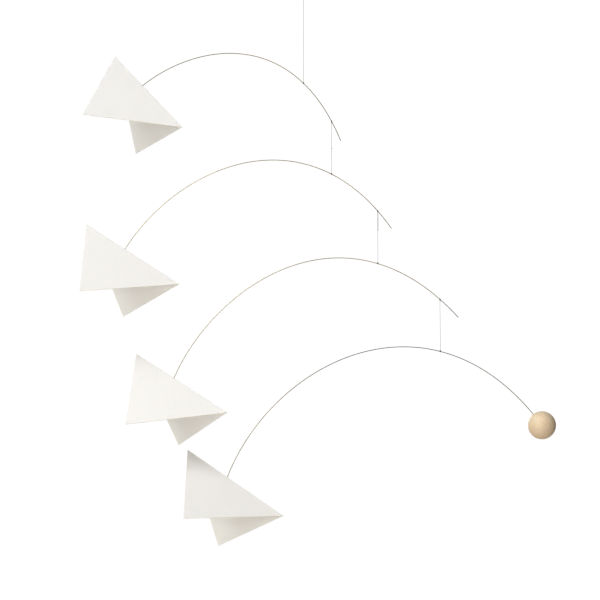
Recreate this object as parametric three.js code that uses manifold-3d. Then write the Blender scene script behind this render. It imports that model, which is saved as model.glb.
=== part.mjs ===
// A hanging mobile: four folded card gliders and a wooden ball on four bowed wires.
// Each wire hangs by a thread from the wire above it, and the gliders and the ball balance each other.
// Millimetres and degrees, +Z up, +X along the wires towards the ball, -Y towards the front of the gliders.
// The origin is where the hanging loop bears on its hook.
import * as THREE from "three";
import { ConvexGeometry } from "three/addons/geometries/ConvexGeometry.js";
import { mergeVertices } from "three/addons/utils/BufferGeometryUtils.js";
import Module from "manifold-3d";

const wasm = await Module();
wasm.setup();

// The glider: one diamond of card, folded like a tent along its shorter diagonal.
const card = {
  thickness: 0.45,
  creaseLength: 135,
  wingTipFromNose: 65.5, // along the crease, to the line that joins the two wing tips
  wingReach: 87, // from the crease to a wing tip, along the card
  foldAngle: 85.5, // between the two panels, inside
  pinholeFromNose: 78.5, // along the crease
};

const wireDiameter = 0.8;

// The eye that is turned on a wire's end, inside the fold, so that the card can't slide off.
const eye = {
  radius: 1.8, // to the wire's middle
  depth: 4.2, // from the crease to where the bend starts
  turn: 285,
};

const ball = {
  diameter: 30,
  wireReach: 11, // how deep the wire sits in it
};

const threadDiameter = 0.35;

// Thread wound round a wire and drawn tight.
const knot = {
  wraps: 4,
  layers: 1.4,
};

// The thread's doubled top end, which goes over a hook.
const loop = {
  height: 14,
  width: 5,
  knotDiameter: 1.8,
};

const gap = 0.3; // between pieces that touch or pass through each other

// Each wire is one bow, from its pinhole on the left to its right end. span and tilt are its chord, and
// rise and fall the angles at its ends from the chord. The holds say how far each end keeps its direction,
// as a share of the span. hangsAt and carriesAt are the places of its two ties, measured along the wire.
// drop is the height from the tie above down to the tie on this wire. The three turns set its glider.
const topWire = {
  span: 226.2,
  tilt: -16.2,
  rise: 56.6,
  riseHold: 0.315,
  fall: 52.2,
  fallHold: 0.637,
  hangsAt: 194.9,
  carriesAt: 248.2,
  drop: 116.3,
  glider: { yaw: 33.8, pitch: 45.8, roll: -10.7 },
};

const secondWire = {
  span: 289.8,
  tilt: 4.5,
  rise: 54.3,
  riseHold: 0.393,
  fall: 60.4,
  fallHold: 0.547,
  hangsAt: 263.4,
  carriesAt: 328.5,
  drop: 60,
  glider: { yaw: 21, pitch: 34.2, roll: -3 },
};

const thirdWire = {
  span: 313,
  tilt: 12.2,
  rise: 55,
  riseHold: 0.362,
  fall: 60.8,
  fallHold: 0.572,
  hangsAt: 276.2,
  carriesAt: 354.3,
  drop: 58.9,
  glider: { yaw: 27.6, pitch: 32.8, roll: -3.4 },
};

// The lowest wire's span ends in the middle of the ball.
const lowestWire = {
  span: 340.3,
  tilt: 9.4,
  rise: 59.7,
  riseHold: 0.402,
  fall: 63.8,
  fallHold: 0.569,
  hangsAt: 289.6,
  drop: 57.4,
  glider: { yaw: 21.9, pitch: 34.5, roll: -9.5 },
};

const tubeSides = 8;
const holeSides = 16;
const knotSides = 12;
const bowSteps = 44;
const eyeSteps = 16;
const threadSteps = 14;
const loopSteps = 30;
const ballSides = 32;
const beadSides = 16;

const wireRadius = wireDiameter / 2;
const threadRadius = threadDiameter / 2;
const foldHalf = THREE.MathUtils.degToRad(card.foldAngle / 2);
const knotInside = wireRadius + gap;
const knotOutside = knotInside + knot.layers * threadDiameter;
const knotLength = knot.wraps * threadDiameter;
const knotReach = Math.hypot(knotOutside, knotLength / 2);
const drillReach = 8 * card.thickness; // from the crease to each end of the pinhole's drill
const socketOverrun = 4 * gap; // how far the drill of the ball's socket starts outside the ball
const up = new THREE.Vector3(0, 0, 1);

const materials = {
  card: new THREE.MeshStandardMaterial({ color: "#f1eee9", roughness: 0.85, metalness: 0 }),
  wire: new THREE.MeshStandardMaterial({ color: "#b5a67c", roughness: 0.3, metalness: 1 }),
  wood: new THREE.MeshStandardMaterial({ color: "#dcc49f", roughness: 0.6, metalness: 0 }),
  thread: new THREE.MeshStandardMaterial({ color: "#c9c8c4", roughness: 0.7, metalness: 0 }),
};

// A path that an extrusion follows point by point, so that a tight bend can have closer points.
class PointPath extends THREE.Curve {
  constructor(points) {
    super();
    this.points = points;
  }

  getPoint(share, target = new THREE.Vector3()) {
    const place = share * (this.points.length - 1);
    const first = Math.min(Math.floor(place), this.points.length - 2);
    return target.lerpVectors(this.points[first], this.points[first + 1], place - first);
  }

  getPointAt(share, target) {
    return this.getPoint(share, target);
  }

  getTangentAt(share, target) {
    return this.getTangent(share, target);
  }
}

function tube(points, radius) {
  const section = [];
  for (let side = 0; side < tubeSides; side += 1) {
    const angle = (2 * Math.PI * side) / tubeSides;
    section.push(new THREE.Vector2(radius * Math.cos(angle), radius * Math.sin(angle)));
  }
  return new THREE.ExtrudeGeometry(new THREE.Shape(section), {
    steps: points.length - 1,
    extrudePath: new PointPath(points),
  });
}

function solidOf(geometry) {
  const bare = geometry.clone();
  bare.deleteAttribute("normal");
  bare.deleteAttribute("uv");
  const merged = mergeVertices(bare, 1e-4);
  return new wasm.Manifold(
    new wasm.Mesh({
      numProp: 3,
      vertProperties: merged.attributes.position.array,
      triVerts: new Uint32Array(merged.index.array),
    }),
  );
}

function geometryOf(solid) {
  const mesh = solid.getMesh();
  const geometry = new THREE.BufferGeometry();
  geometry.setAttribute("position", new THREE.BufferAttribute(mesh.vertProperties, 3));
  geometry.setIndex(new THREE.BufferAttribute(mesh.triVerts, 1));
  geometry.computeVertexNormals();
  return geometry;
}

// The turn that takes a lathe's or cylinder's own axis onto a direction.
function turnOnto(direction) {
  return new THREE.Quaternion().setFromUnitVectors(new THREE.Vector3(0, 1, 0), direction);
}

// A cylinder from one point to another, for the holes that a wire goes into.
function rod(start, end, radius) {
  const axis = new THREE.Vector3().subVectors(end, start);
  const geometry = new THREE.CylinderGeometry(radius, radius, axis.length(), holeSides);
  geometry.applyQuaternion(turnOnto(axis.normalize()));
  geometry.translate(...start.clone().lerp(end, 0.5).toArray());
  return geometry;
}

// The bow of one wire in the XZ plane, starting at its pinhole.
function bowOf(wire) {
  const inPlane = (degrees, length) => {
    const angle = THREE.MathUtils.degToRad(degrees);
    return new THREE.Vector3(length * Math.cos(angle), 0, length * Math.sin(angle));
  };
  const end = inPlane(wire.tilt, wire.span);
  const riseHandle = inPlane(wire.tilt + wire.rise, wire.span * wire.riseHold);
  const fallHandle = inPlane(wire.tilt - wire.fall, -wire.span * wire.fallHold).add(end);
  const bow = new THREE.CubicBezierCurve3(new THREE.Vector3(), riseHandle, fallHandle, end);
  bow.arcLengthDivisions = 400;
  return bow;
}

// The place and direction of a point on a wire that is so many millimetres along it.
function along(arm, distance) {
  const share = Math.min(distance / arm.bow.getLength(), 1);
  return {
    place: arm.bow.getPointAt(share).add(arm.start),
    direction: arm.bow.getTangentAt(share),
  };
}

// The glider's frame: its origin is the pinhole, +X the nose, +Y the far wing's side and +Z its back.
function gliderTurn(arm) {
  const { yaw, pitch, roll } = arm.glider;
  const [aboutNose, aboutSide, aboutUp] = [roll, pitch, -yaw].map(THREE.MathUtils.degToRad);
  return new THREE.Euler(aboutNose, aboutSide, aboutUp, "ZYX");
}

// One half of the folded card: a triangle of card, mitred along the crease. side is 1 or -1.
function panel(side) {
  const nose = card.pinholeFromNose;
  const tail = nose - card.creaseLength;
  const tip = nose - card.wingTipFromNose;
  const mitre = card.thickness / Math.tan(foldHalf);
  const mitreShare = mitre / card.wingReach;
  const place = (x, reach, depth) =>
    new THREE.Vector3(
      x,
      side * (reach * Math.sin(foldHalf) - depth * Math.cos(foldHalf)),
      -reach * Math.cos(foldHalf) - depth * Math.sin(foldHalf),
    );
  const onMitre = (x) => place(x, mitre, card.thickness).setY(0);
  return new ConvexGeometry([
    place(nose, 0, 0),
    place(tail, 0, 0),
    place(tip, card.wingReach, 0),
    onMitre(THREE.MathUtils.lerp(nose, tip, mitreShare)),
    onMitre(THREE.MathUtils.lerp(tail, tip, mitreShare)),
    place(tip, card.wingReach, card.thickness),
  ]);
}

function gliderGeometry(arm) {
  const sheet = solidOf(panel(1)).add(solidOf(panel(-1)));
  const inwards = along(arm, 0)
    .direction.negate()
    .applyQuaternion(new THREE.Quaternion().setFromEuler(gliderTurn(arm)).invert());
  const pinhole = rod(
    inwards.clone().multiplyScalar(-drillReach),
    inwards.clone().multiplyScalar(drillReach),
    wireRadius + gap,
  );
  return geometryOf(sheet.subtract(solidOf(pinhole)));
}

// The eye's points from its tip back to the pinhole, in a plane with the crease.
function eyePoints(arm) {
  const { place, direction } = along(arm, 0);
  const inwards = direction.clone().negate();
  const nose = new THREE.Vector3(1, 0, 0).applyEuler(gliderTurn(arm));
  const sideways = nose.addScaledVector(inwards, -nose.dot(inwards)).normalize();
  const bendStart = place.clone().addScaledVector(inwards, eye.depth);
  const middle = bendStart.clone().addScaledVector(sideways, eye.radius);
  const points = [];
  for (let step = eyeSteps; step >= 0; step -= 1) {
    const angle = THREE.MathUtils.degToRad((eye.turn * step) / eyeSteps);
    points.push(
      middle
        .clone()
        .addScaledVector(sideways, -eye.radius * Math.cos(angle))
        .addScaledVector(inwards, eye.radius * Math.sin(angle)),
    );
  }
  points.push(bendStart.clone().lerp(place, 0.5));
  return points;
}

function wireGeometry(arm) {
  const points = eyePoints(arm);
  for (let step = 0; step <= bowSteps; step += 1) {
    points.push(along(arm, (arm.wireLength * step) / bowSteps).place);
  }
  return tube(points, wireRadius);
}

// The ball, with the blind hole that the wire's end sits in.
function ballGeometry(arm) {
  const centre = along(arm, arm.bow.getLength()).place;
  const sphere = new THREE.SphereGeometry(ball.diameter / 2, ballSides, ballSides / 2);
  sphere.translate(...centre.toArray());
  const tip = along(arm, arm.wireLength);
  const socket = rod(
    tip.place.clone().addScaledVector(tip.direction, gap),
    tip.place.clone().addScaledVector(tip.direction, -ball.wireReach - socketOverrun),
    wireRadius + gap,
  );
  return geometryOf(solidOf(sphere).subtract(solidOf(socket)));
}

// A knot is a short wound sleeve round the wire, widest in its middle.
function knotGeometry(arm, distance) {
  const { place, direction } = along(arm, distance);
  const half = knotLength / 2;
  const shoulder = (knotInside + knotOutside) / 2;
  const profile = [
    new THREE.Vector2(knotInside, -half),
    new THREE.Vector2(shoulder, -half),
    new THREE.Vector2(knotOutside, -half / 2),
    new THREE.Vector2(knotOutside, half / 2),
    new THREE.Vector2(shoulder, half),
    new THREE.Vector2(knotInside, half),
    new THREE.Vector2(knotInside, -half),
  ];
  const geometry = new THREE.LatheGeometry(profile, knotSides);
  geometry.applyQuaternion(turnOnto(direction));
  geometry.translate(...place.toArray());
  return geometry;
}

function threadGeometry(top, bottom) {
  const points = [];
  for (let step = 0; step <= threadSteps; step += 1) {
    points.push(top.clone().lerp(bottom, step / threadSteps));
  }
  return tube(points, threadRadius);
}

// The loop is a slim drop of thread that closes in a knot below it. Its inside top is the origin.
function loopGeometry() {
  const points = [];
  const knotRadius = loop.knotDiameter / 2;
  const knotDepth = loop.height - knotRadius;
  const halfWidth = (loop.width - threadDiameter) / 2;
  const widestShare = 4 / Math.sqrt(27); // the greatest value of the drop's formula
  for (let step = 0; step <= loopSteps; step += 1) {
    const angle = (2 * Math.PI * step) / loopSteps;
    const rise = (1 - Math.cos(angle)) / 2;
    const spread = (Math.sin(angle) * Math.sqrt(rise)) / widestShare;
    const depth = (knotDepth + threadRadius) * (1 - rise);
    points.push(new THREE.Vector3(halfWidth * spread, 0, threadRadius - depth));
  }
  const bead = new THREE.SphereGeometry(knotRadius, beadSides, beadSides / 2);
  bead.translate(0, 0, -knotDepth);
  return geometryOf(solidOf(tube(points, threadRadius)).add(solidOf(bead)));
}

// Hangs a wire by its tie, below the tie above. The arm is the wire with its bow and its place.
function hang(wire, tieAbove) {
  const bow = bowOf(wire);
  const endsInBall = wire.carriesAt === undefined;
  const endGap = endsInBall ? ball.diameter / 2 - ball.wireReach : 0;
  const wireLength = bow.getLength() - endGap;
  const arm = { ...wire, bow, wireLength, tieAbove, start: new THREE.Vector3() };
  const tie = along(arm, wire.hangsAt).place;
  arm.start = tieAbove.clone().addScaledVector(up, -wire.drop).sub(tie);
  arm.tieBelow = endsInBall ? null : along(arm, wire.carriesAt).place;
  return arm;
}

const arms = [];
for (const wire of [topWire, secondWire, thirdWire, lowestWire]) {
  const tieAbove = arms.length ? arms[arms.length - 1].tieBelow : new THREE.Vector3();
  arms.push(hang(wire, tieAbove));
}

const mobile = new THREE.Group();

function addPiece(name, geometry, material, group = mobile) {
  const mesh = new THREE.Mesh(geometry, material);
  mesh.name = name;
  group.add(mesh);
}

addPiece("hanging_loop", loopGeometry(), materials.thread);

arms.forEach((arm, index) => {
  const number = index + 1;
  const tie = along(arm, arm.hangsAt).place;
  const knotAbove = index === 0 ? loop.height : knotReach;
  const threadTop = arm.tieAbove.clone().addScaledVector(up, -knotAbove - gap);
  const threadBottom = tie.clone().addScaledVector(up, knotReach + gap);

  addPiece(`thread_${number}`, threadGeometry(threadTop, threadBottom), materials.thread);
  addPiece(`thread_${number}_lower_knot`, knotGeometry(arm, arm.hangsAt), materials.thread);
  addPiece(`wire_${number}`, wireGeometry(arm), materials.wire);
  if (arm.tieBelow) {
    addPiece(`thread_${number + 1}_upper_knot`, knotGeometry(arm, arm.carriesAt), materials.thread);
  } else {
    addPiece("wooden_ball", ballGeometry(arm), materials.wood);
  }

  const perch = new THREE.Group();
  perch.position.copy(along(arm, 0).place);
  perch.rotation.copy(gliderTurn(arm));
  mobile.add(perch);
  addPiece(`glider_${number}`, gliderGeometry(arm), materials.card, perch);
});

export default mobile;
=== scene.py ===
import math

import bmesh
import bpy
from mathutils import Euler, Matrix, Vector
from mathutils.geometry import interpolate_bezier


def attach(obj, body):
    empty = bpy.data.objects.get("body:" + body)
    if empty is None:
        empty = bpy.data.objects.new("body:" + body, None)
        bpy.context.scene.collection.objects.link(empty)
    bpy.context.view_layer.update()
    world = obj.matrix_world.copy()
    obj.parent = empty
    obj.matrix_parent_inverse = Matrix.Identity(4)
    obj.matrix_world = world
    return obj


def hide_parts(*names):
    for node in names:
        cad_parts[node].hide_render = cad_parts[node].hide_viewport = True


# A hanging mobile: four gliders of folded white card and a wooden ball, on four bowed brass wires.
# The dictionaries are in millimetres and degrees. The scene is in metres, with +Z up and the origin
# where the top loop bears on its hook.

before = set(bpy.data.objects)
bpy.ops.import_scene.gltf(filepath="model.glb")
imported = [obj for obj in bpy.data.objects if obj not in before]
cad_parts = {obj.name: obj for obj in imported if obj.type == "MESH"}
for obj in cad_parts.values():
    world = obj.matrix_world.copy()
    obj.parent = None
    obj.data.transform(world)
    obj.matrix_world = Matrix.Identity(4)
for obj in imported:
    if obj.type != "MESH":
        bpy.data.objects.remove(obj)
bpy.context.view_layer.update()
mm = 0.001
touching = 1e-7  # points nearer than this, in metres, are the same
up = Vector((0, 0, 1))
print("frame loaded")


def link(name, data):
    piece = bpy.data.objects.new(name, data)
    bpy.context.scene.collection.objects.link(piece)
    return piece


# The photograph looks up at the mobile from a little below its middle, from far away.
camera = {
    "target": (-3.9, 0, -360),
    "distance": 2700,
    "below": 12,
    "lens": 150,
    "sensor": 36,
    "nearest": 50,
    "farthest": 60000,
}


def placeCamera():
    lens = bpy.data.cameras.new("camera")
    lens.lens = camera["lens"]
    lens.sensor_width = camera["sensor"]
    lens.clip_start = camera["nearest"] * mm
    lens.clip_end = camera["farthest"] * mm
    viewer = link("camera", lens)
    tilt = math.radians(camera["below"])
    towardsViewer = Vector((0, -math.cos(tilt), -math.sin(tilt)))
    viewer.location = Vector(camera["target"]) * mm + towardsViewer * camera["distance"] * mm
    viewer.rotation_euler = (math.radians(90) + tilt, 0, 0)
    bpy.context.scene.camera = viewer


placeCamera()

# Each wire is one bow from its pinhole on the left to its right end. span and tilt are its chord,
# rise and fall the angles at its ends from the chord, and the holds how far each end keeps its
# direction. hangsAt and carriesAt are its two ties, measured along it, and drop is the height from
# the tie above. yaw, pitch and roll turn the glider at its left end.
wireBows = [
    {"span": 226.2, "tilt": -16.2, "rise": 56.6, "riseHold": 0.315, "fall": 52.2, "fallHold": 0.637,
     "hangsAt": 194.9, "carriesAt": 248.2, "drop": 116.3,
     "yaw": 33.8, "pitch": 45.8, "roll": -10.7},
    {"span": 289.8, "tilt": 4.5, "rise": 54.3, "riseHold": 0.393, "fall": 60.4, "fallHold": 0.547,
     "hangsAt": 263.4, "carriesAt": 328.5, "drop": 60,
     "yaw": 21, "pitch": 34.2, "roll": -3},
    {"span": 313, "tilt": 12.2, "rise": 55, "riseHold": 0.362, "fall": 60.8, "fallHold": 0.572,
     "hangsAt": 276.2, "carriesAt": 354.3, "drop": 58.9,
     "yaw": 27.6, "pitch": 32.8, "roll": -3.4},
    {"span": 340.3, "tilt": 9.4, "rise": 59.7, "riseHold": 0.402, "fall": 63.8, "fallHold": 0.569,
     "hangsAt": 289.6, "drop": 57.4,
     "yaw": 21.9, "pitch": 34.5, "roll": -9.5},
]
bowDetail = 400  # points on each bow


def inPlane(degrees, length):
    angle = math.radians(degrees)
    return Vector((math.cos(angle), 0, math.sin(angle))) * length * mm


def bowPoints(bow):
    end = inPlane(bow["tilt"], bow["span"])
    riseHandle = inPlane(bow["tilt"] + bow["rise"], bow["span"] * bow["riseHold"])
    fallHandle = end - inPlane(bow["tilt"] - bow["fall"], bow["span"] * bow["fallHold"])
    return interpolate_bezier(Vector((0, 0, 0)), riseHandle, fallHandle, end, bowDetail)


def routeLength(points):
    return sum((second - first).length for first, second in zip(points, points[1:]))


def along(points, distance):
    # the place and the direction of the point that is so far along a route
    reached = 0
    for first, second in zip(points, points[1:]):
        step = (second - first).length
        if reached + step >= distance:
            break
        reached += step
    return first.lerp(second, (distance - reached) / step), (second - first).normalized()


def evenly(points, step):
    # the same route, with its points about one step apart
    whole = routeLength(points)
    count = max(2, round(whole / step))
    return [along(points, whole * index / count)[0] for index in range(count + 1)]


def hangArms():
    # each arm's bow, hung by its tie from the wire above
    arms = []
    tieAbove = Vector((0, 0, 0))
    for bow in wireBows:
        points = bowPoints(bow)
        tie = tieAbove - up * bow["drop"] * mm
        shift = tie - along(points, bow["hangsAt"] * mm)[0]
        points = [point + shift for point in points]
        arms.append({"bow": bow, "points": points, "length": routeLength(points),
                     "tie": tie, "tieAbove": tieAbove})
        if "carriesAt" in bow:
            tieAbove = along(points, bow["carriesAt"] * mm)[0]
    return arms


arms = hangArms()


def meshed(name, shape):
    # a finished bmesh made into a piece
    mesh = bpy.data.meshes.new(name)
    shape.to_mesh(mesh)
    shape.free()
    return link(name, mesh)


def settled(piece):
    # the piece with its curve or its modifiers made into a plain mesh
    name = piece.name
    bpy.context.view_layer.update()
    finished = piece.evaluated_get(bpy.context.evaluated_depsgraph_get())
    mesh = bpy.data.meshes.new_from_object(finished)
    bpy.data.objects.remove(piece)
    return link(name, mesh)


def roundCurve(name, radius, resolution):
    curve = bpy.data.curves.new(name, "CURVE")
    curve.dimensions = "3D"
    curve.bevel_depth = radius
    curve.bevel_resolution = resolution
    curve.use_fill_caps = True
    return curve


def addRoute(curve, route):
    spline = curve.splines.new("POLY")
    spline.points.add(len(route) - 1)
    for point, place in zip(spline.points, route):
        point.co = (*place, 1)


def dress(piece, finish, body, node):
    if not piece.data.materials:
        piece.data.materials.append(finish)
    piece.data.shade_smooth()
    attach(piece, body)
    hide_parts(node)


def linear(hexColour):
    # an sRGB hex colour as the linear values that a shader takes
    channels = [int(hexColour[place:place + 2], 16) / 255 for place in (1, 3, 5)]
    return [c / 12.92 if c <= 0.04045 else ((c + 0.055) / 1.055) ** 2.4 for c in channels] + [1]


def perMetre(size):
    # a texture's scale for a pattern that repeats every so many millimetres
    return 1000 / size


# a Mix node's inputs by number: its share, and its two colours or its two values
share, colourA, colourB, valueA, valueB = 0, 6, 7, 2, 3
mixedColour = 2  # and its colour output


def addNode(tree, kind, inputs=None, **settings):
    # one node with its settings, and each input either set or linked from another node's output
    node = tree.nodes.new(kind)
    for name, value in settings.items():
        setattr(node, name, value)
    for name, value in (inputs or {}).items():
        if isinstance(value, bpy.types.NodeSocket):
            tree.links.new(value, node.inputs[name])
        else:
            node.inputs[name].default_value = value
    return node


def startMaterial(name):
    material = bpy.data.materials.new(name)
    material.use_nodes = True
    tree = material.node_tree
    tree.nodes.clear()
    return material, tree


def finishMaterial(tree, shader):
    addNode(tree, "ShaderNodeOutputMaterial", {"Surface": shader.outputs[0]})


# Uncoated white board, about 300 grams: matt, with a fine tooth and a faint cloudy formation of
# fibres. A slightly darker line along the crease is painted shade, which damps the highlight that
# the rounded bend catches. Some of the light comes through it.
board = {
    "colour": "#f5f5f4",
    "cloud": "#f1f1ee",
    "cloudSize": 9,
    # painted shade along the crease, to damp the highlight its rounded bend catches
    "crease": "#eceae3",
    "creaseWidth": 0.7,
    "toothSize": 0.35,
    "toothHeight": 0.04,
    "toothStrength": 0.35,
    "roughness": 0.82,
    "gloss": 0.35,
    "glow": 0.35,
    "glowDepth": 0.4,
    "glowTint": (1, 0.93, 0.82),
}


def uncoatedWhiteBoard():
    material, tree = startMaterial("uncoated white board")
    flat = addNode(tree, "ShaderNodeUVMap", uv_map="flat")
    cloud = addNode(tree, "ShaderNodeTexNoise", {
        "Vector": flat.outputs[0], "Scale": perMetre(board["cloudSize"]), "Detail": 4,
        "Roughness": 0.6})
    mottled = addNode(tree, "ShaderNodeMix", {
        share: cloud.outputs["Fac"], colourA: linear(board["colour"]),
        colourB: linear(board["cloud"])}, data_type="RGBA")
    across = addNode(tree, "ShaderNodeSeparateXYZ", {0: flat.outputs[0]})
    # painted shade: the line along the crease is darker, to damp the highlight its rounded bend
    # catches
    fromCrease = addNode(tree, "ShaderNodeMath", {0: across.outputs["Y"]}, operation="ABSOLUTE")
    creaseShadeShare = addNode(tree, "ShaderNodeMapRange", {
        "Value": fromCrease.outputs[0], "From Min": 0, "From Max": board["creaseWidth"] * mm,
        "To Min": 1, "To Max": 0}, interpolation_type="SMOOTHSTEP")
    creaseShaded = addNode(tree, "ShaderNodeMix", {
        share: creaseShadeShare.outputs[0], colourA: mottled.outputs[mixedColour],
        colourB: linear(board["crease"])}, data_type="RGBA")
    tooth = addNode(tree, "ShaderNodeTexNoise", {
        "Vector": flat.outputs[0], "Scale": perMetre(board["toothSize"]), "Detail": 3,
        "Roughness": 0.7})
    bump = addNode(tree, "ShaderNodeBump", {
        "Height": tooth.outputs["Fac"], "Strength": board["toothStrength"],
        "Distance": board["toothHeight"] * mm})
    shader = addNode(tree, "ShaderNodeBsdfPrincipled", {
        "Base Color": creaseShaded.outputs[mixedColour], "Normal": bump.outputs[0],
        "Roughness": board["roughness"], "Specular IOR Level": board["gloss"], "IOR": 1.5,
        "Subsurface Weight": board["glow"], "Subsurface Scale": board["glowDepth"] * mm,
        "Subsurface Radius": board["glowTint"]})
    finishMaterial(tree, shader)
    return material


# The cut edge of the board shows its core, which is a little creamier and rougher than its faces.
boardCore = {
    "colour": "#efe7d6",
    "fibre": "#e2d8c4",
    "fibreLength": 1.2,
    "roughness": 0.92,
    "gloss": 0.2,
}


def cutBoardEdge():
    material, tree = startMaterial("cut board edge")
    place = addNode(tree, "ShaderNodeTexCoord")
    fibre = addNode(tree, "ShaderNodeTexNoise", {
        "Vector": place.outputs["Object"], "Scale": perMetre(boardCore["fibreLength"]),
        "Detail": 5})
    colour = addNode(tree, "ShaderNodeMix", {
        share: fibre.outputs["Fac"], colourA: linear(boardCore["colour"]),
        colourB: linear(boardCore["fibre"])}, data_type="RGBA")
    shader = addNode(tree, "ShaderNodeBsdfPrincipled", {
        "Base Color": colour.outputs[mixedColour], "Roughness": boardCore["roughness"],
        "Specular IOR Level": boardCore["gloss"]})
    finishMaterial(tree, shader)
    return material


# Hard drawn brass wire that has dulled in air: a muted gold, finely streaked along its length.
# Painted dark reflection: it is browner towards the right and on the top wire, and the lowest wire
# is darkest, from its bow down to the ball. The streaks are drawn a few times wider than real draw
# lines. A pair of numbers is where a change starts and ends, or how much of it there is at those two
# places.
brass = {
    "colour": "#cbbc90",
    # the dull colour serves both the random dull patches and the painted dark reflection
    "dullAndDarkReflection": "#735e2c",
    "dullPatch": 45,
    # painted dark reflection: browner towards the right and on the top wire
    "reflectionAcross": (-150, 60),
    "reflectionAmount": (-0.5, 0.25),
    "reflectionAbove": (-235, -165),
    # painted dark reflection on the lowest wire, from its bow down to the ball
    "dark": "#4a452f",
    "darkBelow": (-345, -367),
    "darkRightOf": (-60, 30),
    "darkAmount": 0.85,
    "streakWidth": 0.08,
    "streakLength": 9,
    "streakDepth": 0.01,
    "streakStrength": 0.1,
    "streakSpread": (0.3, 0.7),  # the part of the streaks' noise that shows
    "roughness": (0.13, 0.19),
}


def drawnBrass():
    material, tree = startMaterial("drawn brass wire")
    wound = addNode(tree, "ShaderNodeUVMap", uv_map="wound")
    streaks = addNode(tree, "ShaderNodeMapping", {
        "Vector": wound.outputs[0],
        "Scale": (perMetre(brass["streakLength"]), perMetre(brass["streakWidth"]), 1)})
    drawn = addNode(tree, "ShaderNodeTexNoise", {
        "Vector": streaks.outputs[0], "Scale": 1, "Detail": 3})
    place = addNode(tree, "ShaderNodeTexCoord")
    patch = addNode(tree, "ShaderNodeTexNoise", {
        "Vector": place.outputs["Object"], "Scale": perMetre(brass["dullPatch"]), "Detail": 3})
    across = addNode(tree, "ShaderNodeSeparateXYZ", {0: place.outputs["Object"]})

    # painted dark reflection: browner towards the right and on the top wire, on top of the patches
    rightwardReflection = addNode(tree, "ShaderNodeMapRange", {
        "Value": across.outputs["X"], "From Min": brass["reflectionAcross"][0] * mm,
        "From Max": brass["reflectionAcross"][1] * mm, "To Min": brass["reflectionAmount"][0],
        "To Max": brass["reflectionAmount"][1]}, interpolation_type="SMOOTHSTEP")
    upperReflection = addNode(tree, "ShaderNodeMapRange", {
        "Value": across.outputs["Z"], "From Min": brass["reflectionAbove"][0] * mm,
        "From Max": brass["reflectionAbove"][1] * mm, "To Min": 0, "To Max": 1},
        interpolation_type="SMOOTHSTEP")
    paintedReflection = addNode(tree, "ShaderNodeMath", {0: rightwardReflection.outputs[0], 1: upperReflection.outputs[0]},
                      operation="ADD")
    dullAndReflectionShare = addNode(tree, "ShaderNodeMath", {0: patch.outputs["Fac"], 1: paintedReflection.outputs[0]},
                     operation="ADD", use_clamp=True)
    colour = addNode(tree, "ShaderNodeMix", {
        share: dullAndReflectionShare.outputs[0], colourA: linear(brass["colour"]),
        colourB: linear(brass["dullAndDarkReflection"])}, data_type="RGBA")

    # painted dark reflection: darkest low down and towards the ball
    lowest = addNode(tree, "ShaderNodeMapRange", {
        "Value": across.outputs["Z"], "From Min": brass["darkBelow"][0] * mm,
        "From Max": brass["darkBelow"][1] * mm, "To Min": 0, "To Max": brass["darkAmount"]})
    nearBall = addNode(tree, "ShaderNodeMapRange", {
        "Value": across.outputs["X"], "From Min": brass["darkRightOf"][0] * mm,
        "From Max": brass["darkRightOf"][1] * mm, "To Min": 0, "To Max": 1},
        interpolation_type="SMOOTHSTEP")
    darkened = addNode(tree, "ShaderNodeMath", {0: lowest.outputs[0], 1: nearBall.outputs[0]},
                       operation="MULTIPLY")
    tone = addNode(tree, "ShaderNodeMix", {
        share: darkened.outputs[0], colourA: colour.outputs[mixedColour],
        colourB: linear(brass["dark"])}, data_type="RGBA")

    roughness = addNode(tree, "ShaderNodeMapRange", {
        "Value": drawn.outputs["Fac"], "From Min": brass["streakSpread"][0],
        "From Max": brass["streakSpread"][1], "To Min": brass["roughness"][0],
        "To Max": brass["roughness"][1]})
    bump = addNode(tree, "ShaderNodeBump", {
        "Height": drawn.outputs["Fac"], "Strength": brass["streakStrength"],
        "Distance": brass["streakDepth"] * mm})
    shader = addNode(tree, "ShaderNodeBsdfPrincipled", {
        "Base Color": tone.outputs[mixedColour], "Metallic": 1, "Roughness": roughness.outputs[0],
        "Normal": bump.outputs[0]})
    finishMaterial(tree, shader)
    return material


# Turned maple, sanded and left bare: pale and warm, with faint rings and short darker fibres. The
# fibres are drawn about four times coarser than real ones, so that they show.
maple = {
    "early": "#e9d5b8",
    "late": "#dcc098",
    "ringWidth": 3.158,
    "ringWander": 1.6,
    "grainAxis": (-0.364, -0.752, -0.55),
    "pith": (2.5, 0, 1.5),  # from the tree's middle to the ball's
    "patchSize": 9.09,
    "fleck": "#cba779",
    "fleckSpread": (0.5, 0.72),  # the part of the fibres' noise that shows
    "fleckAmount": 0.6,
    "fibreWidth": 0.7,
    "fibreLength": 7,
    "fibreDepth": 0.05,
    "fibreStrength": 0.25,
    "roughness": 0.48,
    "gloss": 0.85,
    "glow": 0.35,
    "glowDepth": 1.6,
    "glowTint": (1, 0.55, 0.3),
}


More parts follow.
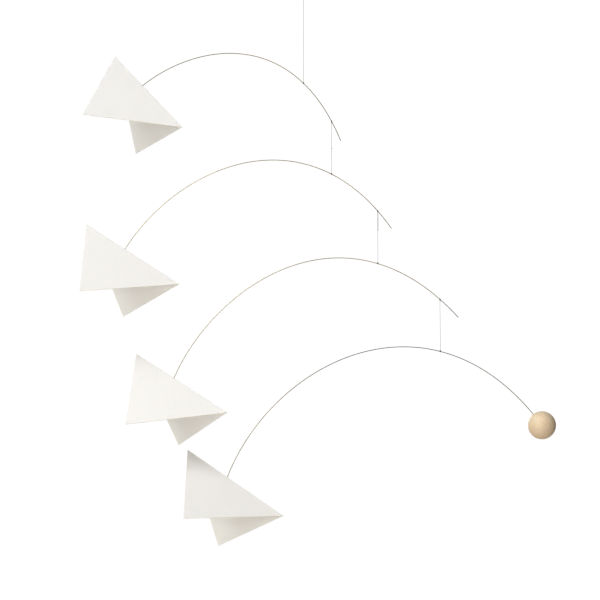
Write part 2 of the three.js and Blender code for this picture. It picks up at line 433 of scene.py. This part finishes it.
def turnedMaple(centre):
    material, tree = startMaterial("turned maple")
    place = addNode(tree, "ShaderNodeTexCoord")
    turn = Vector(maple["grainAxis"]).rotation_difference(up)
    centred = addNode(tree, "ShaderNodeVectorMath", {0: place.outputs["Object"], 1: centre},
                      operation="SUBTRACT")
    turned = addNode(tree, "ShaderNodeMapping", {
        "Vector": centred.outputs[0], "Location": Vector(maple["pith"]) * mm,
        "Rotation": turn.to_euler()})
    patches = addNode(tree, "ShaderNodeTexNoise", {
        "Vector": turned.outputs[0], "Scale": perMetre(maple["patchSize"]), "Detail": 2})

    # a ring is one whole turn of the wave, which goes through 20 radians in each unit
    rings = addNode(tree, "ShaderNodeTexWave", {
        "Vector": turned.outputs[0], "Scale": perMetre(maple["ringWidth"]) * 2 * math.pi / 20,
        "Distortion": maple["ringWander"], "Detail": 3, "Detail Scale": 1.2},
        wave_type="RINGS", rings_direction="Z", wave_profile="SAW")
    ringColour = addNode(tree, "ShaderNodeMix", {
        share: rings.outputs["Fac"], colourA: linear(maple["early"]),
        colourB: linear(maple["late"])}, data_type="RGBA")

    fibreWidth = perMetre(maple["fibreWidth"])
    fibres = addNode(tree, "ShaderNodeMapping", {
        "Vector": turned.outputs[0],
        "Scale": (fibreWidth, fibreWidth, perMetre(maple["fibreLength"]))})
    fibre = addNode(tree, "ShaderNodeTexNoise", {
        "Vector": fibres.outputs[0], "Scale": 1, "Detail": 2})
    flecks = addNode(tree, "ShaderNodeMapRange", {
        "Value": fibre.outputs["Fac"], "From Min": maple["fleckSpread"][0],
        "From Max": maple["fleckSpread"][1], "To Min": 0, "To Max": maple["fleckAmount"]})
    flecked = addNode(tree, "ShaderNodeMix", {
        share: flecks.outputs[0], colourA: ringColour.outputs[mixedColour],
        colourB: linear(maple["fleck"])}, data_type="RGBA")
    colour = addNode(tree, "ShaderNodeMix", {
        share: patches.outputs["Fac"], colourA: flecked.outputs[mixedColour],
        colourB: linear(maple["early"])}, data_type="RGBA")
    bump = addNode(tree, "ShaderNodeBump", {
        "Height": fibre.outputs["Fac"], "Strength": maple["fibreStrength"],
        "Distance": maple["fibreDepth"] * mm})
    shader = addNode(tree, "ShaderNodeBsdfPrincipled", {
        "Base Color": colour.outputs[mixedColour], "Normal": bump.outputs[0],
        "Roughness": maple["roughness"], "Specular IOR Level": maple["gloss"], "IOR": 1.5,
        "Subsurface Weight": maple["glow"], "Subsurface Scale": maple["glowDepth"] * mm,
        "Subsurface Radius": maple["glowTint"]})
    finishMaterial(tree, shader)
    return material


# Twisted charcoal cotton thread: matt and slightly furry, in two near-black tones. The fibres are
# drawn about three times coarser than real ones.
cotton = {
    "colour": "#2d2a27",
    "shade": "#1b1918",
    "fibreWidth": 0.05,
    "roughness": 0.9,
    "gloss": 0.2,
    "fuzz": 0.2,
}


def twistedCotton():
    material, tree = startMaterial("twisted cotton thread")
    place = addNode(tree, "ShaderNodeTexCoord")
    fibre = addNode(tree, "ShaderNodeTexNoise", {
        "Vector": place.outputs["Object"], "Scale": perMetre(cotton["fibreWidth"]), "Detail": 2})
    colour = addNode(tree, "ShaderNodeMix", {
        share: fibre.outputs["Fac"], colourA: linear(cotton["colour"]),
        colourB: linear(cotton["shade"])}, data_type="RGBA")
    shader = addNode(tree, "ShaderNodeBsdfPrincipled", {
        "Base Color": colour.outputs[mixedColour], "Roughness": cotton["roughness"],
        "Specular IOR Level": cotton["gloss"], "Sheen Weight": cotton["fuzz"]})
    finishMaterial(tree, shader)
    return material


boardFace = uncoatedWhiteBoard()
boardEdge = cutBoardEdge()
brassWire = drawnBrass()
cottonThread = twistedCotton()
print("materials made")

# Thread of three plies. It is wound round each wire and knotted there, and a short end is left.
thread = {
    "diameter": 0.35,
    "plies": 3,
    "turn": 1.5,  # the length in which a ply goes round once
    "stepsPerTurn": 10,
    "plySides": 1,  # the curve's bevel resolution
    "routeSteps": 20,
    "wraps": 3,
    "stepsPerWrap": 24,
    "knotUnit": 0.125,  # a knot's curve is six of these across
    "knotSteps": 72,
    "knotGap": 0.95,  # from a tie on a wire to the middle of its knot
    "midKnotDrop": 30.9,  # from the wire above to the extra knot in the second thread
    "lowerEnd": [(-0.9, -0.3, 0.2), (-1.7, -0.5, -0.2)],
    "upperEnd": [(0.5, -0.1, -0.5), (0.45, 0, -1.6)],
    "longUpperEnd": [(0.5, -0.1, -0.5), (0.45, 0, -21.5)],  # on the third thread
}
threadRadius = thread["diameter"] * mm / 2
plyRadius = threadRadius / (1 + 2 / math.sqrt(3))  # three round plies inside the thread's outline


def plies(name, routes):
    # each route becomes three plies that wind round it
    rope = roundCurve(name, plyRadius, thread["plySides"])
    for route in routes:
        points = evenly(route, thread["turn"] * mm / thread["stepsPerTurn"])
        last = len(points) - 1
        side = (points[1] - points[0]).orthogonal().normalized()
        frames = []
        for index, point in enumerate(points):
            heading = (points[min(index + 1, last)] - points[max(index - 1, 0)]).normalized()
            side = (side - heading * side.dot(heading)).normalized()
            frames.append((point, side, heading.cross(side)))
        for ply in range(thread["plies"]):
            strand = []
            for index, (point, side, other) in enumerate(frames):
                angle = 2 * math.pi * (index / thread["stepsPerTurn"] + ply / thread["plies"])
                spoke = side * math.cos(angle) + other * math.sin(angle)
                strand.append(point + spoke * (threadRadius - plyRadius))
            addRoute(rope, strand)
    return settled(link(name, rope))


def overhandKnot(centre):
    # a closed tight knot, a trefoil about as wide as three threads
    route = []
    for step in range(thread["knotSteps"] + 1):
        angle = 2 * math.pi * step / thread["knotSteps"]
        trefoil = Vector((math.sin(angle) + 2 * math.sin(2 * angle), -math.sin(3 * angle),
                          math.cos(angle) - 2 * math.cos(2 * angle)))
        route.append(centre + trefoil * thread["knotUnit"] * mm)
    return route


def wraps(arm, distance):
    # the turns of thread round a wire, side by side
    place, heading = along(arm["points"], distance * mm)
    outward = heading.cross(Vector((0, 1, 0))).normalized()
    outward = outward if outward.z > 0 else -outward
    other = heading.cross(outward)
    radius = wire["diameter"] * mm / 2 + threadRadius
    route = []
    for step in range(thread["stepsPerWrap"] * thread["wraps"] + 1):
        turns = step / thread["stepsPerWrap"]
        angle = 2 * math.pi * turns
        forward = (turns - thread["wraps"] / 2) * thread["diameter"] * mm
        spoke = outward * math.cos(angle) + other * math.sin(angle)
        route.append(place + heading * forward + spoke * radius)
    return route


def looseEnd(knot, bends):
    # the thread that is left over beyond a knot
    return [knot] + [knot + Vector(bend) * mm for bend in bends]


# The doubled top end of the thread, which goes over a hook.
loop = {
    "height": 14,
    "width": 5,
    "steps": 120,
    "knotDepth": 13.1,
    "end": [(0.9, -0.2, -0.8), (1.2, -0.3, -4)],
}


def loopRoute():
    # a drop shape, pointed at its knot. The last factor makes its widest part 1.
    route = []
    halfWidth = loop["width"] / 2 * mm - threadRadius
    depth = loop["knotDepth"] * mm + threadRadius
    for step in range(loop["steps"] + 1):
        angle = 2 * math.pi * step / loop["steps"]
        rise = (1 - math.cos(angle)) / 2
        spread = math.sin(angle) * math.sqrt(rise) * math.sqrt(27) / 4
        route.append(Vector((halfWidth * spread, 0, threadRadius - depth * (1 - rise))))
    return route


# Spring wire of 0.8 mm. Inside the fold it ends in a small turned eye, so the card can't slide off.
wire = {
    "diameter": 0.8,
    "sides": 16,
    "bowSteps": 110,
    "eyeRadius": 1.8,
    "eyeDepth": 4.2,
    "eyeTurn": 285,
    "eyeSteps": 48,
    "endRounding": 0.12,
    "endSteps": 3,
}


def eyeRoute(arm, gliderTurn):
    place, heading = along(arm["points"], 0)
    inwards = -heading
    nose = gliderTurn @ Vector((1, 0, 0))
    sideways = (nose - inwards * nose.dot(inwards)).normalized()
    bendStart = place + inwards * wire["eyeDepth"] * mm
    middle = bendStart + sideways * wire["eyeRadius"] * mm
    route = []
    for step in range(wire["eyeSteps"], -1, -1):
        angle = math.radians(wire["eyeTurn"]) * step / wire["eyeSteps"]
        spoke = inwards * math.sin(angle) - sideways * math.cos(angle)
        route.append(middle + spoke * wire["eyeRadius"] * mm)
    return route


def bendWire(name, route):
    bent = roundCurve(name, wire["diameter"] * mm / 2, (wire["sides"] - 4) // 2)
    addRoute(bent, route)
    piece = settled(link(name, bent))
    shape = bmesh.new()
    shape.from_mesh(piece.data)
    bmesh.ops.remove_doubles(shape, verts=shape.verts, dist=touching)
    ends = [face for face in shape.faces if len(face.verts) > 4]
    rims = [edge for face in ends for edge in face.edges]
    bmesh.ops.bevel(shape, geom=rims, offset=wire["endRounding"] * mm, offset_type="OFFSET",
                    segments=wire["endSteps"], profile=0.5, affect="EDGES", material=-1)
    bmesh.ops.recalc_face_normals(shape, faces=shape.faces)
    shape.to_mesh(piece.data)
    shape.free()
    return piece


def unroll(piece, length):
    # the wire's map in metres: its length along one way and its circumference along the other
    wound = piece.data.uv_layers[0]
    wound.name = "wound"
    for corner in wound.data:
        corner.uv = (corner.uv.x * length, corner.uv.y * math.pi * wire["diameter"] * mm)


# One diamond of card, folded along its shorter diagonal, with a pinhole in the crease for the wire.
card = {
    "thickness": 0.45,
    "creaseLength": 135,
    "wingTipFromNose": 65.5,
    "wingReach": 87,
    "foldAngle": 85.5,
    "creaseRadius": 0.6,
    "creaseSteps": 4,
    "rows": 9,
    "edgeRounding": 0.05,
    "edgeSteps": 2,
    "sharpAbove": 50,
    "pinholeFromNose": 78.5,
    "pinholeDiameter": 1.1,
    "pinholeSides": 24,
    "drillLength": 8,
}


def cutAcross(shape, place, direction):
    everything = shape.verts[:] + shape.edges[:] + shape.faces[:]
    bmesh.ops.bisect_plane(shape, geom=everything, dist=touching, plane_co=place,
                           plane_no=direction)


def flatSheet(reach, foldLines):
    # the diamond, cut along the fold lines, and into rows so that no face is long and thin
    nose = card["pinholeFromNose"] * mm
    tail = nose - card["creaseLength"] * mm
    tip = nose - card["wingTipFromNose"] * mm
    shape = bmesh.new()
    corners = ((nose, 0, 0), (tip, reach, 0), (tail, 0, 0), (tip, -reach, 0))
    shape.faces.new([shape.verts.new(corner) for corner in corners])
    rowLines = [reach * (row + 1) / (card["rows"] + 1) for row in range(card["rows"])]
    for line in foldLines + rowLines:
        for side in (1, -1):
            cutAcross(shape, (0, side * line, 0), (0, 1, 0))
    columns = 2 * card["rows"]
    for column in range(1, columns):
        cutAcross(shape, (tail + (nose - tail) * column / columns, 0, 0), (1, 0, 0))
    bmesh.ops.triangulate(shape, faces=[face for face in shape.faces if len(face.verts) > 4])
    flatMap = shape.loops.layers.uv.new("flat")
    for face in shape.faces:
        for corner in face.loops:
            corner[flatMap].uv = corner.vert.co.xy
    return shape


def foldCard(name, gliderTurn, pinhole, inwards):
    foldTurn = math.radians(180 - card["foldAngle"]) / 2
    stepTurn = foldTurn / card["creaseSteps"]
    radius = card["creaseRadius"] * mm
    foldLines = [(step + 0.5) * radius * stepTurn for step in range(card["creaseSteps"])]
    shape = flatSheet(card["wingReach"] * mm - radius * (math.tan(foldTurn) - foldTurn), foldLines)

    # what is beyond a line turns about it, the outermost line first, so that the rest is still flat
    flat = {vert: vert.co.y for vert in shape.verts}
    for line in reversed(foldLines):
        for side in (1, -1):
            beyond = [vert for vert, across in flat.items() if side * across > line + touching]
            bmesh.ops.rotate(shape, verts=beyond, cent=(0, side * line, 0),
                             matrix=Matrix.Rotation(-side * stepTurn, 3, "X"))
    crown = radius * (1 / math.cos(foldTurn) - 1)
    bmesh.ops.translate(shape, verts=shape.verts, vec=(0, 0, -crown))

    piece = meshed(name, shape)
    piece.data.materials.append(boardFace)
    piece.data.materials.append(boardEdge)
    wall = piece.modifiers.new("board", "SOLIDIFY")
    wall.thickness = card["thickness"] * mm
    wall.offset = -1
    wall.use_even_offset = True
    wall.material_offset_rim = 1
    drill = drillPinhole(piece, inwards)
    rounding = piece.modifiers.new("edges", "BEVEL")
    rounding.width = card["edgeRounding"] * mm
    rounding.segments = card["edgeSteps"]
    rounding.limit_method = "ANGLE"
    rounding.angle_limit = math.radians(card["sharpAbove"])
    piece.modifiers.new("shading", "WEIGHTED_NORMAL")
    piece.data.shade_smooth()
    piece = settled(piece)
    bpy.data.objects.remove(drill)
    piece.data.transform(Matrix.Translation(pinhole) @ gliderTurn.to_4x4())
    return piece


def drillPinhole(piece, inwards):
    # the drill is removed once the piece is settled
    radius = card["pinholeDiameter"] * mm / 2
    shape = bmesh.new()
    bmesh.ops.create_cone(shape, cap_ends=True, segments=card["pinholeSides"], radius1=radius,
                          radius2=radius, depth=card["drillLength"] * mm)
    bmesh.ops.rotate(shape, verts=shape.verts, cent=(0, 0, 0),
                     matrix=up.rotation_difference(inwards).to_matrix())
    drill = meshed("pinhole", shape)
    cut = piece.modifiers.new("pinhole", "BOOLEAN")
    cut.object = drill
    cut.solver = "EXACT"
    return drill


# A turned ball, drilled for the wire.
ball = {
    "diameter": 30,
    "wireReach": 11,
    "socketDiameter": 1,
    "segments": 96,
    "rings": 64,
}


def turnBall(name, centre, heading):
    radius = ball["diameter"] * mm / 2
    socket = ball["socketDiameter"] * mm / 2
    shape = bmesh.new()
    bmesh.ops.create_uvsphere(shape, u_segments=ball["segments"], v_segments=ball["rings"],
                              radius=radius)

    # the top pole is opened into the socket's mouth, and its rim is drawn down to the bottom
    pole = max(shape.verts, key=lambda vert: vert.co.z)
    mouth = [edge.other_vert(pole) for edge in pole.link_edges]
    bmesh.ops.delete(shape, geom=[pole], context="VERTS")
    for vert in mouth:
        outward = Vector((vert.co.x, vert.co.y, 0)).normalized() * socket
        vert.co = outward + up * math.sqrt(radius ** 2 - socket ** 2)
    rim = [edge for edge in shape.edges if edge.is_boundary]
    deeper = bmesh.ops.extrude_edge_only(shape, edges=rim)["geom"]
    bottom = [item for item in deeper if isinstance(item, bmesh.types.BMVert)]
    bmesh.ops.translate(shape, verts=bottom, vec=-up * ball["wireReach"] * mm)
    bmesh.ops.holes_fill(shape, edges=[edge for edge in shape.edges if edge.is_boundary])
    bmesh.ops.recalc_face_normals(shape, faces=shape.faces)

    # the socket faces back up the wire
    bmesh.ops.rotate(shape, verts=shape.verts, cent=(0, 0, 0),
                     matrix=up.rotation_difference(-heading).to_matrix())
    bmesh.ops.translate(shape, verts=shape.verts, vec=centre)
    return meshed(name, shape)


# The cords first: four taut threads with their ties, and the loop that holds the top one.
# A thread turns with the wire below it, and its upper tie stays on the wire above.
for number, arm in enumerate(arms, 1):
    body = f"arm_{number}"
    knotGap = thread["knotGap"] * mm
    lowest = arm["tie"] + up * knotGap
    if number == 1:
        highest = arm["tieAbove"] - up * loop["height"] * mm
    else:
        highest = arm["tieAbove"] - up * knotGap
    steps = thread["routeSteps"]
    route = [highest.lerp(lowest, step / steps) for step in range(steps + 1)]
    hung = plies(f"cotton_thread_{number}", [route])
    dress(hung, cottonThread, body, f"thread_{number}")

    lowerRoutes = [wraps(arm, arm["bow"]["hangsAt"]), overhandKnot(lowest),
                   looseEnd(lowest, thread["lowerEnd"])]
    if number == 2:
        lowerRoutes.append(overhandKnot(arm["tieAbove"] - up * thread["midKnotDrop"] * mm))
    lowerTie = plies(f"lower_tie_{number}", lowerRoutes)
    dress(lowerTie, cottonThread, body, f"thread_{number}_lower_knot")

    if number == 1:
        knot = arm["tieAbove"] - up * loop["knotDepth"] * mm
        upperRoutes = [loopRoute(), overhandKnot(knot), looseEnd(knot, loop["end"])]
        upperTie = plies("top_loop", upperRoutes)
        dress(upperTie, cottonThread, "hanging_loop", "hanging_loop")
    else:
        above = arms[number - 2]
        end = thread["longUpperEnd"] if number == 3 else thread["upperEnd"]
        upperRoutes = [wraps(above, above["bow"]["carriesAt"]), overhandKnot(highest),
                       looseEnd(highest, end)]
        upperTie = plies(f"upper_tie_{number}", upperRoutes)
        dress(upperTie, cottonThread, f"arm_{number - 1}", f"thread_{number}_upper_knot")
print("threads tied")

for number, arm in enumerate(arms, 1):
    body = f"arm_{number}"
    bow = arm["bow"]
    turns = [math.radians(degrees) for degrees in (bow["roll"], bow["pitch"], -bow["yaw"])]
    gliderTurn = Euler(turns, "XYZ").to_matrix()
    endsInBall = "carriesAt" not in bow
    wireLength = arm["length"]
    if endsInBall:
        wireLength -= (ball["diameter"] / 2 - ball["wireReach"]) * mm
    steps = wire["bowSteps"]
    bowRoute = [along(arm["points"], wireLength * step / steps)[0] for step in range(steps + 1)]
    wireRoute = eyeRoute(arm, gliderTurn) + bowRoute
    bent = bendWire(f"brass_wire_{number}", wireRoute)
    unroll(bent, routeLength(wireRoute))
    dress(bent, brassWire, body, f"wire_{number}")

    pinhole, heading = along(arm["points"], 0)
    inwards = gliderTurn.inverted() @ -heading
    folded = foldCard(f"card_glider_{number}", gliderTurn, pinhole, inwards)
    dress(folded, boardFace, body, f"glider_{number}")

    if endsInBall:
        centre, heading = along(arm["points"], arm["length"])
        turnedBall = turnBall("turned_ball", centre, heading)
        dress(turnedBall, turnedMaple(centre), body, "wooden_ball")
print("wires bent, card folded and ball turned")

# A plain pale floor far below, and soft boxes in a white studio: the key at the upper left, a wide
# one above the camera, a small one at the left as high as the upper wires, one over the tops and one
# for the backs, and a warm one from below. The light of the studio itself is weaker and warmer from
# the right, and its walls are just over white where the camera sees them.
studio = {
    "floorDrop": 1900,
    "floorSize": 14000,
    "floor": "#dfdbd4",
    "floorRoughness": 0.9,
    "wall": 1.02,
    "around": 0.27,
    "rightSide": 0.2,  # the share of that light that comes from the right
    "rightFrom": 0.75,  # how far to the right a direction points, of 1, once it is down to that
    "rightColour": "#dba673",
    "softBoxes": {
        "key": {"place": (-2340, -2700, 2270), "size": 2500, "power": 56, "colour": "#ffffff"},
        "front": {"place": (0, -3240, 2630), "size": 3600, "power": 78, "colour": "#ffffff"},
        "level": {"place": (-2050, -3250, -170), "size": 1200, "power": 18, "colour": "#ffffff"},
        "behind": {"place": (-2160, 1080, 2990), "size": 1800, "power": 12, "colour": "#ffffff"},
        "back": {"place": (-900, 3700, 500), "size": 2200, "power": 36, "colour": "#ffffff"},
        "low": {"place": (-800, -1800, -1100), "size": 1200, "power": 13.5, "colour": "#fdf5e6"},
    },
}


def softBox(name, box):
    light = bpy.data.lights.new(name, "AREA")
    light.shape = "SQUARE"
    light.size = box["size"] * mm
    light.energy = box["power"]
    light.color = linear(box["colour"])[:3]
    lamp = link(name, light)
    lamp.location = Vector(box["place"]) * mm
    aim = Vector(camera["target"]) * mm - lamp.location
    lamp.rotation_euler = aim.to_track_quat("-Z", "Y").to_euler()
    lamp.visible_camera = False


def lightStudio():
    for name, box in studio["softBoxes"].items():
        softBox(f"{name} soft box", box)
    world = bpy.data.worlds.new("white studio")
    bpy.context.scene.world = world
    world.use_nodes = True
    tree = world.node_tree
    tree.nodes.clear()
    white = linear("#ffffff")
    direction = addNode(tree, "ShaderNodeTexCoord")
    sideways = addNode(tree, "ShaderNodeSeparateXYZ", {0: direction.outputs["Generated"]})
    rightwards = addNode(tree, "ShaderNodeMapRange", {
        "Value": sideways.outputs["X"], "From Min": 0, "From Max": studio["rightFrom"],
        "To Min": 0, "To Max": 1}, interpolation_type="SMOOTHSTEP")
    around = addNode(tree, "ShaderNodeMapRange", {
        "Value": rightwards.outputs[0], "From Min": 0, "From Max": 1,
        "To Min": studio["around"], "To Max": studio["around"] * studio["rightSide"]})
    warmth = addNode(tree, "ShaderNodeMix", {
        share: rightwards.outputs[0], colourA: white,
        colourB: linear(studio["rightColour"])}, data_type="RGBA")
    path = addNode(tree, "ShaderNodeLightPath")
    colour = addNode(tree, "ShaderNodeMix", {
        share: path.outputs["Is Camera Ray"], colourA: warmth.outputs[mixedColour],
        colourB: white}, data_type="RGBA")
    strength = addNode(tree, "ShaderNodeMix", {
        share: path.outputs["Is Camera Ray"], valueA: around.outputs[0],
        valueB: studio["wall"]}, data_type="FLOAT")
    walls = addNode(tree, "ShaderNodeBackground", {
        "Color": colour.outputs[mixedColour], "Strength": strength.outputs[0]})
    addNode(tree, "ShaderNodeOutputWorld", {"Surface": walls.outputs[0]})
    bpy.context.scene.view_settings.view_transform = "Standard"


def layFloor():
    shape = bmesh.new()
    bmesh.ops.create_grid(shape, x_segments=1, y_segments=1, size=studio["floorSize"] * mm / 2)
    bmesh.ops.translate(shape, verts=shape.verts, vec=-up * studio["floorDrop"] * mm)
    floor = meshed("studio_floor", shape)
    material, tree = startMaterial("matt studio floor")
    shader = addNode(tree, "ShaderNodeBsdfPrincipled", {
        "Base Color": linear(studio["floor"]), "Roughness": studio["floorRoughness"]})
    finishMaterial(tree, shader)
    floor.data.materials.append(material)


lightStudio()
layFloor()
print("studio lit")
